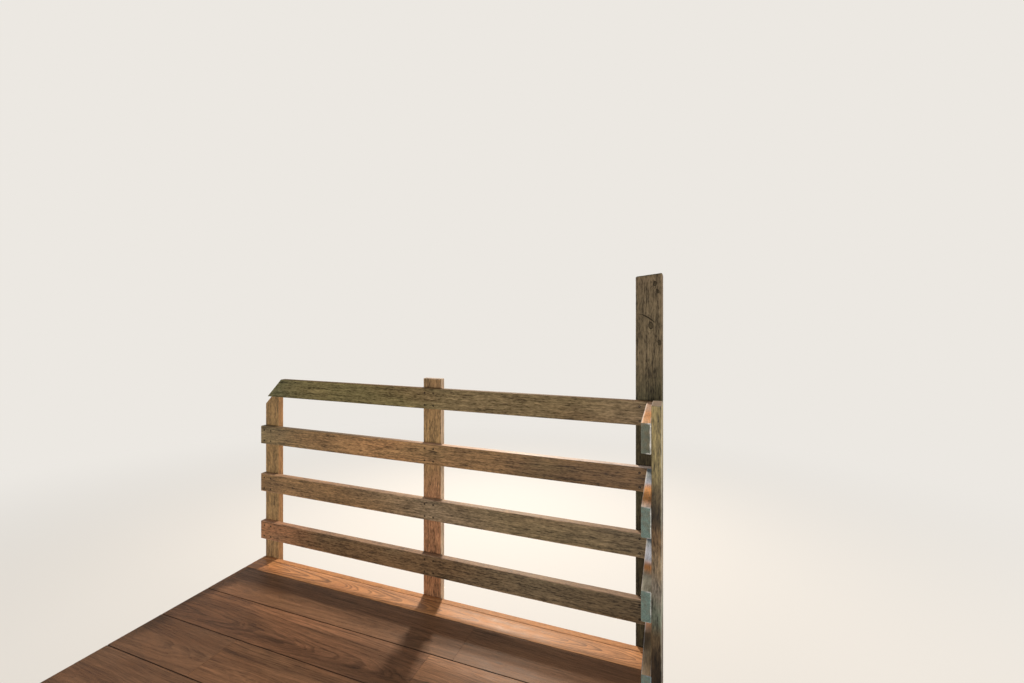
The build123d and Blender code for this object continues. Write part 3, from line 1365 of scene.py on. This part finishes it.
class Stain:
    """The finishes, one for each board of the guard: the stain took differently on each, and each carries its
    own painted light on tops, side faces and arrises.
    """

    # Rail top tones are painted light: pale and pink where the lamps fall on the tops, dark where they don't.
    # The lower rails' pink arrises are partly abrasion, partly painted highlight. The top rail's tones end
    # lighter at the return, painted light against the shade near the corner.
    RAILS = {
        "top": Finish(shades("MOSS OLIVE OLIVE HAZEL HAZEL FAWN"), shades("BARK UMBER UMBER"), Tone.UMBER,
                      Tone.UMBER, patched=0.35, edge_wear_and_light=0.25, painted_top_light=0.9, gloss=0.06, roughness=0.75),
        "upper": Finish(shades("HAZEL WALNUT TAWNY WALNUT UMBER UMBER"),
                        shades("BARK BARK UMBER ROSE BLUSH BLUSH"), Tone.OLIVE, Tone.WALNUT, patched=0.25,
                        edge_wear_and_light=0.3, painted_top_light=0.85),
        "lower": Finish(shades("WALNUT WALNUT FAWN HAZEL DUST"), patch=Tone.UMBER, patched=0.3),
        "bottom": Finish(shades("RUSSET UMBER UMBER DUST BARK"), patch=Tone.DUST, patched=0.4),
    }
    # What the return's boards share; each gives its own tones. The pale line round their ends is a painted
    # highlight, and their top tones are painted light and reflection: lilac, ice and steel a painted
    # reflection of cool light, honey, apricot and flame painted lamplight, brightened where cast shade falls.
    RETURN = Finish((), patch=Tone.DUST, wear_seam_and_light=Tone.PALE, end=Tone.TEAL, edge_wear_and_light=0.85, painted_top_light=0.95,
                    one_sided=0.3, end_sided=0.9, one_ended=0.9)
    RETURNS = {
        "top": replace(RETURN, tones=shades("UMBER WALNUT UMBER"), top=shades("HONEY APRICOT ROSE ROSE"),
                       end=Tone.SLATE, edge_wear_and_light=1.0, edge_reach=5.5 * MM),
        "upper": replace(RETURN, tones=shades("WALNUT UMBER UMBER"),
                         top=shades("BLUSH FLAME FLAME LILAC STEEL STEEL")),
        "lower": replace(RETURN, tones=shades("UMBER WALNUT FAWN"),
                         top=shades("ASH ASH APRICOT ICE LILAC STEEL STEEL")),
        "bottom": replace(RETURN, tones=shades("UMBER BARK UMBER"), patched=0.3, wear_seam_and_light=Tone.LILAC,
                          top=shades("FAWN DUST BARK SIENNA SIENNA"), edge_wear_and_light=0.7, painted_top_light=0.85),
    }
    # The posts' paler side tones, tawny and buff, are painted light from the right on their side faces.
    LEFT_POST = Finish(shades("WALNUT BRAN BRAN"), patch=Tone.WALNUT, wear_seam_and_light=Tone.TAWNY, patched=0.6,
                       side_seam_and_light=0.9)
    MIDDLE_POST = Finish(shades("UMBER RUSSET CEDAR BRAN WALNUT"), patch=Tone.HAZEL, wear_seam_and_light=Tone.BUFF,
                         patched=0.4, side_seam_and_light=0.9)
    # The return post's pale ash arris, on its right side only, is a painted highlight.
    RETURN_POST = Finish(shades("UMBER BARK UMBER BARK BARK PEAT PEAT BARK SLATE PEWTER FAWN UMBER PEAT BARK "
                                "LEAF LEAF LEAF"), patch=Tone.MOSS, wear_seam_and_light=Tone.ASH, end=Tone.CINDER,
                         patched=0.2, edge_wear_and_light=0.6, one_sided=1.0)
    NEWEL = Finish(
        shades("PITCH PITCH PITCH PITCH PITCH PITCH SOOT DRIFT DRIFT"), patch=Tone.MOSS, wear_seam_and_light=Tone.UMBER,
        end=Tone.SOOT, knot=Tone.PITCH, late=0.35, streak=1.1, patched=0.2, edge_wear_and_light=0.3, painted_top_light=0.1,
        roughness=0.78, gloss=0.12, relief=0.9 * MM,
        growth=Growth(3.0 * MM, (-8 * MM, -20 * MM), taper=0.02, wander=12 * MM, knots=(
            Knot(0.616, 0.007, 8 * MM), Knot(0.770, 0.021, 6 * MM), Knot(0.742, 0.031, 5 * MM),
            Knot(0.553, 0.037, 6 * MM), Knot(-0.120, -0.018, 10 * MM), Knot(-0.520, 0.015, 8 * MM))))
    # The fascia's oak top face is painted light: the bright strip along the deck's edge.
    FASCIA = Finish(shades("CHESTNUT UMBER CHESTNUT"), shades("OAK OAK"), wear_seam_and_light=Tone.AMBER, painted_top_light=0.95)
    # What the edge board and the floor share: a satin coat over strong grain, and dark seams
    LAID = replace(BARE, wear_seam_and_light=Tone.SEAM, knot=Tone.KNOT, late=0.5, side_seam_and_light=0.95, roughness=0.5,
                   relief=0.12 * MM)
    EDGE_BOARD = replace(LAID, tones=shades("OAK OAK"), patch=Tone.AMBER, end=Tone.AMBER, fibre=0.35,
                         streak=0.5, mottle=0.3, speck=0.3, patched=0.35, gloss=0.25,
                         growth=Growth(5.5 * MM, (4 * MM, -30 * MM), taper=0.05, wander=14 * MM))
    PLANKS = replace(LAID, tones=shades("LOAM SIENNA LOAM CEDAR LOAM"), patch=Tone.COCOA, end=Tone.COCOA,
                     fibre=0.6, streak=1.1, mottle=0.35, speck=0.25, patched=0.5, gloss=0.1,
                     growth=Growth(7 * MM, (0.0, -34 * MM), taper=0.035, wander=26 * MM, knottiness=0.12))


@dataclass
class Guard:
    """The rails, posts and corner return, with the screws that hold them."""

    style: ScrewStyle = ScrewStyle()
    edge_margin: float = 20 * MM
    low_margin: float = 16 * MM
    side_margin: float = 23 * MM
    newel_margin: float = 17 * MM
    end_clear: float = 60 * MM
    foot_heights: tuple[float, float] = (60 * MM, 175 * MM)
    foot_shares: tuple[float, float] = (0.27, 0.73)
    return_post_trim: float = 15 * MM
    return_toe: float = 8 * MM

    def build(self, screw_steel: Material) -> None:
        """Makes every board of the guard and their screws.

        Args:
            screw_steel: The screws' metal.
        """
        every = []
        for index, name in enumerate(Stain.RAILS):
            rail = Board(f"{name}_rail", Axis.X, Stain.RAILS[name], "rail_stain", seed=1.3 + 2.1 * index,
                         low_slope=1.0 if name == "top" else 0.0)
            side = Board(f"return_{name}_rail", Axis.Y, Stain.RETURNS[name], "rail_stain",
                         seed=10.7 + 1.7 * index, toe=self.return_toe)
            every += rail.make(self.rail_screws(rail.cut, name), self.style)
            every += side.make(self.return_screws(side.cut), self.style)
        left = Board("left_post", Axis.Z, Stain.LEFT_POST, "post_stain", seed=20.5, high_slope=1.0)
        middle = Board("middle_post", Axis.Z, Stain.MIDDLE_POST, "post_stain", seed=23.9)
        corner = Board("return_post", Axis.Z, Stain.RETURN_POST, "post_stain", seed=26.1,
                       high_trim=self.return_post_trim)
        for post, away in ((left, 1), (middle, 1), (corner, 0)):
            every += post.make(self.foot_screws(post.cut, away), self.style)
        self.style.heads("guard_screws", every, screw_steel)

    def levels(self, cut: Cut) -> tuple[float, float]:
        """Where the lower and the upper line of screws lie in a rail."""
        return cut.low.z + self.low_margin, cut.high.z - self.edge_margin

    def rail_screws(self, cut: Cut, name: str) -> list[Screw]:
        """Pairs of screws near both edges of each post, and one pair into the newel.

        Args:
            cut: The rail.
            name: Which rail it is.

        Returns:
            The screws.
        """
        posts = [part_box(post) for post in ("left_post", "middle_post")]
        columns = [x for low, high in posts for x in (low.x + self.side_margin, high.x - self.side_margin)]
        columns.append(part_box("corner_newel")[0].x + self.newel_margin)
        return [axis_screw(1, -1, {0: x, 1: cut.low.y, 2: z}) for x in columns for z in self.levels(cut)
                if x > cut.low.x + self.end_clear or name != "top"]

    def return_screws(self, cut: Cut) -> list[Screw]:
        """Two pairs of screws into the return's post.

        Args:
            cut: The board.

        Returns:
            The screws.
        """
        low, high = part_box("return_post")
        return [axis_screw(0, -1, {0: cut.low.x, 1: y, 2: z})
                for y in (low.y + self.side_margin, high.y - self.side_margin) for z in self.levels(cut)]

    def foot_screws(self, cut: Cut, away: int) -> list[Screw]:
        """Four screws through a post's foot.

        Args:
            cut: The post.
            away: The axis that its outer face looks along.

        Returns:
            The screws.
        """
        side = 1 - away
        low, high = cut.low, cut.high
        return [axis_screw(away, 1, {away: high[away], side: low[side] + share * (high[side] - low[side]),
                                     2: low.z + height})
                for height in self.foot_heights for share in self.foot_shares]


@dataclass
class Newel:
    """The rough-sawn corner timber, with its drying cracks and knots."""

    node: str = "corner_newel"
    top_slope: float = 11 / 95

    def checks(self) -> tuple[Check, ...]:
        """The crack over the big knot, short ones near the top, and long ones that follow the grain.

        Returns:
            The cracks.
        """
        return (
            Check(((0.657, -0.037), (0.656, -0.022), (0.648, -0.007), (0.638, 0.008), (0.630, 0.018),
                   (0.627, 0.023)), 6 * MM, 10 * MM),
            Check(((0.788, 0.0145), (0.775, 0.0195), (0.764, 0.0235)), 4.5 * MM, 6 * MM),
            Check(((0.753, 0.0255), (0.744, 0.0300), (0.735, 0.0340)), 4.5 * MM, 6 * MM),
            Check(((0.552, 0.0270), (0.551, 0.0350), (0.556, 0.0430)), 3 * MM, 5 * MM),
            Check(((0.37, 0.010), (0.43, 0.013), (0.48, 0.012), (0.54, 0.015)), 1.8 * MM, 6 * MM),
            Check(((0.36, -0.020), (0.42, -0.018), (0.50, -0.022)), 1.4 * MM, 5 * MM),
            Check(((-0.62, 0.010), (-0.35, 0.006), (-0.12, 0.011), (0.10, 0.007)), 2.6 * MM, 9 * MM),
            Check(((-0.30, -0.014), (0.05, -0.009), (0.38, -0.016), (0.66, -0.010)), 3.2 * MM, 12 * MM, 1),
            Check(((-0.70, 0.018), (-0.52, 0.021), (-0.33, 0.016)), 2.4 * MM, 8 * MM, 1),
            Check(((-0.15, 0.006), (0.18, 0.011), (0.44, 0.004)), 2.6 * MM, 9 * MM, 1, True),
            Check(((0.50, -0.016), (0.64, -0.012), (0.77, -0.018)), 2.2 * MM, 8 * MM, 1, True),
            Check(((-0.45, -0.008), (-0.10, -0.004), (0.20, -0.011)), 2.6 * MM, 9 * MM, -1, True),
        )

    def build(self) -> None:
        """Makes the newel."""
        timber = Board(self.node, Axis.Z, Stain.NEWEL, "newel_stain", seed=31.3, ease=4 * MM, ease_steps=1,
                       end_ease=3 * MM, high_slope=self.top_slope, step=6 * MM, unevenness=0.5 * MM,
                       nicks=2.2 * MM, saw_marks=0.35 * MM)
        timber.make([], ScrewStyle(), self.checks())


@dataclass
class DeckEdge:
    """The boards that close the deck's edge, and the grained board along it."""

    style: ScrewStyle = ScrewStyle(head=9 * MM)
    spacing: float = 0.36
    heights: tuple[float, float] = (50 * MM, 150 * MM)
    clearance: float = 12 * MM
    boards: tuple[tuple[str, Axis], ...] = (("front", Axis.X), ("notch_side", Axis.Y), ("notch_back", Axis.X))

    def build(self, screw_steel: Material) -> None:
        """Makes the fascia boards with their screws, and the edge board.

        Args:
            screw_steel: The screws' metal.
        """
        every = []
        for index, (side, grain) in enumerate(self.boards):
            board = Board(f"{side}_fascia", grain, Stain.FASCIA, "fascia_stain", seed=40.9 + 3 * index)
            every += board.make(self.screws(board.cut, grain.value), self.style)
        self.style.heads("fascia_screws", every, screw_steel)
        edge = Board("edge_board", Axis.X, Stain.EDGE_BOARD, "edge_board_wood", seed=52.3, ease=2.2 * MM,
                     ease_steps=2, end_ease=0.6 * MM, unevenness=0.1 * MM, nicks=0.3 * MM)
        edge.make([], self.style)

    def screws(self, cut: Cut, along: int) -> list[Screw]:
        """Screws in two lines along a fascia's outer face, clear of what stands on it.

        Args:
            cut: The board.
            along: The axis that it runs along.

        Returns:
            The screws.
        """
        away = 1 - along
        length = cut.high[along] - cut.low[along]
        count = max(round(length / self.spacing), 1)
        blocks = [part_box(name) for name in ("left_post", "middle_post", "corner_newel", "return_post")]
        screws = []
        for index in range(count):
            run = cut.low[along] + length * (index + 0.5) / count
            if any(low[along] - self.clearance < run < high[along] + self.clearance for low, high in blocks):
                continue
            screws += [axis_screw(away, 1, {along: run, away: cut.high[away], 2: cut.low.z + height})
                       for height in self.heights]
        return screws


@dataclass(frozen=True)
class PlankField:
    """A rectangle of floor laid in rows along X, with staggered end joints."""

    low: tuple[float, float]
    length: float
    rows: int
    row_width: float
    first_row: int


@dataclass
class Floor:
    """The plank floor: bevelled planks in rows, cut round the ladder notch."""

    row_width: float = 190.5 * MM
    plank_length: float = 1.22
    shortest: float = 0.02
    gap: float = 0.7 * MM
    bevel: float = 1.8 * MM
    seed: int = 7

    def build(self) -> None:
        """Makes the floor and takes the place of its two plates."""
        low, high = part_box("floor_main")
        side_low, side_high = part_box("floor_side")
        width = self.row_width
        rows = int((high.y - low.y) / width)
        ripped = high.y - low.y - rows * width
        behind = int((side_high.y - low.y - ripped) / width)
        front = low.y + ripped + behind * width
        fields = (
            PlankField((low.x, low.y), side_high.x - low.x, 1, ripped, 20),
            PlankField((low.x, low.y + ripped), side_high.x - low.x, behind, width, 0),
            PlankField((low.x, front), high.x - low.x, rows - behind, width, behind),
            PlankField((side_low.x, front), side_high.x - side_low.x, 1, side_high.y - front, 40),
        )
        cut = Cut(low, high, Axis.X, 60.0)
        material = Stain.PLANKS.material("floor_planks_finish", cut, attribute="plank_middle")
        shape = bmesh.new()
        for index, area in enumerate(fields):
            tree = self.tree(area, (low.z, high.z), material)
            part = tree.run(f"floor_part_{index}", bpy.data.meshes.new("planks"))
            shape.from_mesh(part.data)
            bpy.data.objects.remove(part)
        piece = add_object("floor_planks", as_mesh("floor_planks", shape))
        piece.data.materials.append(material)
        smooth(piece, 20)
        settle(piece, "floor_wood", "floor_main", "floor_side")

    def tree(self, area: PlankField, levels: tuple[float, float], material: Material) -> GeometryGraph:
        """The Geometry Nodes tree that lays one field of planks.

        Args:
            area: The field.
            levels: The planks' lower and upper level.
            material: Their finish.

        Returns:
            The tree, ready to run.
        """
        bottom, top = levels
        per_row = math.ceil(area.length / self.plank_length) + 2
        graph = GeometryGraph("plank_field", {
            "Start": (*area.low, (bottom + top) / 2), "Field Length": area.length, "Rows": area.rows,
            "Row Width": area.row_width, "Planks A Row": per_row, "Plank Length": self.plank_length,
            "First Row": area.first_row, "Thickness": top - bottom, "Gap": self.gap, "Bevel": self.bevel,
            "Shortest": self.shortest, "Seed": self.seed, "Finish": material})
        given = graph.given
        index = graph.out("GeometryNodeInputIndex")
        row = graph.math("FLOOR", index / given["Planks A Row"])
        step = index - row * given["Planks A Row"]
        feeds = {"ID": row + given["First Row"], "Seed": given["Seed"]}
        first = (step - graph.out("FunctionNodeRandomValue", feeds, 1)) * given["Plank Length"]
        left = graph.most(first, 0.0)
        right = graph.least(first + given["Plank Length"], given["Field Length"])
        length = right - left - given["Gap"]
        place = given["Start"] + graph.join((left + right) * 0.5, (row + 0.5) * given["Row Width"], 0.0)
        feeds = {"Count": given["Rows"] * given["Planks A Row"], "Position": place}
        points = graph.out("GeometryNodePoints", feeds)
        line = graph.out("GeometryNodeCurvePrimitiveLine", {"Start": (-0.5, 0, 0), "End": (0.5, 0, 0)})
        feeds = {"Points": points, "Instance": line, "Scale": graph.join(length, 1.0, 1.0),
                 "Selection": graph.math("GREATER_THAN", length, given["Shortest"])}
        laid = graph.out("GeometryNodeInstanceOnPoints", feeds)
        feeds = {"Geometry": laid, "Name": "plank_middle", "Value": graph.out("GeometryNodeInputPosition")}
        options = {"data_type": "FLOAT_VECTOR", "domain": "INSTANCE"}
        marked = graph.out("GeometryNodeStoreNamedAttribute", feeds, **options)
        real = graph.out("GeometryNodeRealizeInstances", {0: marked})
        feeds = {"Width": given["Row Width"] - given["Gap"], "Height": given["Thickness"]}
        section = graph.out("GeometryNodeCurvePrimitiveQuadrilateral", feeds)
        feeds = {"Curve": section, "Count": 1, "Radius": given["Bevel"]}
        eased = graph.out("GeometryNodeFilletCurve", feeds, mode="POLY")
        feeds = {"Curve": real, "Profile Curve": eased, "Fill Caps": True}
        graph.finish(graph.out("GeometryNodeCurveToMesh", feeds))
        return graph


@dataclass
class Framing:
    """Joists, ledgers, subfloor and the steel angles, which keep their own shapes."""

    joists: str = "front_rim_joist joist_1 joist_2 joist_3 joist_4 rear_rim_joist rear_ledger"
    headers: str = "notch_header_1 notch_header_2 left_ledger right_ledger"
    sheets: str = "subfloor_left subfloor_middle subfloor_right"
    bracket_style: ScrewStyle = ScrewStyle(head=9 * MM, thickness=2.4 * MM, sunk=-2.2 * MM, socket=3.6 * MM)
    bracket_heights: tuple[float, ...] = (-42 * MM, -14 * MM, 14 * MM, 42 * MM)
    bracket_reach: float = 22 * MM
    steel: float = 2.5 * MM
    ledger_style: ScrewStyle = ScrewStyle(head=14 * MM, thickness=3.6 * MM, sunk=-3.3 * MM, socket=6 * MM)
    ledger_pitch: float = 0.2032

    def build(self) -> None:
        """Gives every node of the frame its finish."""
        for names, grain in ((self.joists, Axis.X), (self.headers, Axis.Y)):
            for index, node in enumerate(names.split()):
                cut = Cut.of(node, grain, 70.0 + 4.3 * index + 31 * grain.value)
                self.dress(node, BARE.material(f"{node}_finish", cut))
        for index, node in enumerate(self.sheets.split()):
            cut = Cut.of(node, Axis.Y, 120.0 + 9.1 * index)
            self.dress(node, Plywood().material(f"{node}_finish", cut))
        zinc = Metal().material("zinc_coat")
        self.dress("corner_brackets", zinc)
        self.bracket_style.heads("bracket_screws", self.bracket_screws(), zinc)
        self.ledger_style.heads("ledger_screws", self.ledger_screws(), zinc)

    def bracket_screws(self) -> list[Screw]:
        """Pan-head screws through both legs of each steel angle.

        Returns:
            The screws.
        """
        low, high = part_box("corner_brackets")
        screws = []
        for corner, turn in ((high.y, -1), (low.y, 1)):
            for height in self.bracket_heights:
                level = (low.z + high.z) / 2 + height
                on_joist = {0: high.x - self.bracket_reach, 1: corner + turn * self.steel, 2: level}
                on_header = {0: high.x - self.steel, 1: corner + turn * self.bracket_reach, 2: level}
                screws += [axis_screw(1, turn, on_joist), axis_screw(0, -1, on_header)]
        return screws

    def ledger_screws(self) -> list[Screw]:
        """Washer-head screws through each ledger.

        Returns:
            The screws.
        """
        screws = []
        for side, away, sign in (("left", 0, 1), ("right", 0, -1), ("rear", 1, 1)):
            low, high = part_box(f"{side}_ledger")
            along = 1 - away
            length = high[along] - low[along]
            count = round(length / self.ledger_pitch)
            face = high[away] if sign > 0 else low[away]
            for index in range(count):
                run = low[along] + length * (index + 0.5) / count
                screws.append(axis_screw(away, sign, {along: run, away: face, 2: (low.z + high.z) / 2}))
        return screws

    @staticmethod
    def dress(node: str, material: Material) -> None:
        """Puts one material in every slot of a node.

        Args:
            node: The node's name.
            material: Its finish.
        """
        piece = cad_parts[node]
        if not piece.material_slots:
            piece.data.materials.append(material)
        for slot in piece.material_slots:
            slot.material = material
        log.info("%s dressed", node)


@dataclass(frozen=True)
class Lamp:
    """A soft round lamp, aimed at a point."""

    name: str
    place: Triple
    aim: Triple
    size: float
    power: float
    colour: Triple

    def build(self) -> None:
        """Puts the lamp in the scene."""
        light = bpy.data.lights.new(self.name, "AREA")
        light.shape = "DISK"
        light.size = self.size
        light.energy = self.power
        light.color = self.colour
        lamp = bpy.data.objects.new(self.name, light)
        lamp.location = self.place
        lamp.rotation_euler = (Vector(self.aim) - Vector(self.place)).to_track_quat("-Z", "Y").to_euler()
        lamp.visible_camera = False
        bpy.context.scene.collection.objects.link(lamp)


@dataclass
class Studio:
    """Pale floor and backdrop, soft lamps, and the camera that was fitted to the photograph."""

    image: tuple[int, int] = (1024, 683)
    focal_pixels: float = 451.73
    horizon_pixel: float = 320.65
    sensor: float = 36.0
    nearest: float = 0.02
    eye: Triple = (0.83389, -0.73234, 1.44217)
    turn: float = 20.51
    world_colour: Colour = (1.0, 0.985, 0.95, 1.0)
    world_light: float = 0.33
    floor_size: float = 60.0
    floor_drop: float = 0.5 * MM
    floor_glow: float = 0.6
    fade: tuple[float, float] = (2.0, 5.5)
    lamps: tuple[Lamp, ...] = (
        Lamp("high_key", (-0.95, 3.37, 2.93), (0.35, 0.2, 0.2), 0.22, 70.0, (1.0, 0.86, 0.70)),
        Lamp("low_key", (-0.75, 3.37, 2.43), (0.35, 0.2, 0.2), 0.22, 70.0, (1.0, 0.86, 0.70)),
        Lamp("right_fill", (6.0, 0.9, 0.95), (-0.2, 0.9, 0.85), 1.8, 236.0, (1.0, 0.95, 0.90)),
        Lamp("near_fill", (0.45, -5.95, 0.85), (0.1, 0.9, 0.75), 1.6, 238.0, (1.0, 0.98, 0.96)),
    )

    def build(self) -> None:
        """Sets the stage, the lamps and the camera."""
        bpy.context.scene.view_settings.view_transform = "Standard"
        self.backdrop()
        self.ground()
        for lamp in self.lamps:
            lamp.build()
        self.camera()

    def camera(self) -> None:
        """The camera at the photograph's viewing angle."""
        data = bpy.data.cameras.new("loft_camera")
        width, height = self.image
        data.sensor_width = self.sensor
        data.sensor_fit = "HORIZONTAL"
        data.lens = self.focal_pixels * self.sensor / width
        data.shift_y = (self.horizon_pixel - height / 2) / width
        data.clip_start = self.nearest
        camera = bpy.data.objects.new("loft_camera", data)
        camera.location = self.eye
        camera.rotation_euler = (math.pi / 2, 0.0, math.radians(self.turn))
        bpy.context.scene.collection.objects.link(camera)
        bpy.context.scene.camera = camera

    @staticmethod
    def seen_directly(graph: Graph) -> Wire:
        """1 for rays from the camera, in a mirror or through glass, and 0 for rays that carry light.

        Args:
            graph: Where the nodes go.

        Returns:
            The number.
        """
        kinds = ("Camera", "Glossy", "Transmission")
        camera, glossy, clear = (graph.out("ShaderNodeLightPath", output=f"Is {kind} Ray") for kind in kinds)
        return graph.most(graph.most(camera, glossy), clear)

    def backdrop(self) -> None:
        """A pale world that lights the part evenly."""
        world = bpy.data.worlds.new("studio")
        world.use_nodes = True
        bpy.context.scene.world = world
        graph = Graph(world.node_tree)
        world.node_tree.nodes.clear()
        shown = graph.out("ShaderNodeBackground", {"Color": Tone.PALE.linear, "Strength": 1.0})
        light = graph.out("ShaderNodeBackground", {"Color": self.world_colour,
                                                   "Strength": self.world_light})
        mixed = graph.out("ShaderNodeMixShader", {0: self.seen_directly(graph), 1: light, 2: shown})
        graph.node("ShaderNodeOutputWorld", {"Surface": mixed})

    def ground(self) -> None:
        """A pale floor that fades into the backdrop far from the part, and shows nothing from below."""
        shape = bmesh.new()
        bmesh.ops.create_grid(shape, x_segments=1, y_segments=1, size=self.floor_size)
        bmesh.ops.translate(shape, verts=shape.verts, vec=(0, 0, -self.floor_drop))
        floor = add_object("studio_floor", as_mesh("studio_floor", shape))
        material, graph, shader = new_material("studio_floor")
        graph.fill(shader, {"Base Color": Tone.PALE.linear, "Roughness": 0.9})
        away = graph.coordinate("Object").length()
        far = graph.span(away, *self.fade, self.floor_glow, 1.0)
        glow = graph.out("ShaderNodeEmission", {"Color": Tone.PALE.linear, "Strength": 1.0})
        plain = Wire(graph, shader.outputs[0])
        mixed = graph.out("ShaderNodeMixShader", {0: far * self.seen_directly(graph), 1: plain, 2: glow})
        under = graph.out("ShaderNodeNewGeometry", output="Backfacing")
        through = graph.most(under, graph.out("ShaderNodeLightPath", output="Is Shadow Ray"))
        clear = graph.out("ShaderNodeBsdfTransparent")
        hidden = graph.out("ShaderNodeMixShader", {0: through, 1: mixed, 2: clear})
        graph.fill(material.node_tree.nodes["Material Output"], {"Surface": hidden})
        floor.data.materials.append(material)


def main() -> None:
    """Builds the sub-assemblies in order."""
    logging.basicConfig(level=logging.INFO, format="%(name)s: %(message)s")
    black = Metal(light=(0.035, 0.028, 0.022), dark=(0.016, 0.013, 0.011), roughness=0.5, spangle=900.0)
    screw_steel = black.material("blackened_steel")
    Studio().build()
    Guard().build(screw_steel)
    Newel().build()
    DeckEdge().build(screw_steel)
    Floor().build()
    Framing().build()


if __name__ == "__main__":
    main()
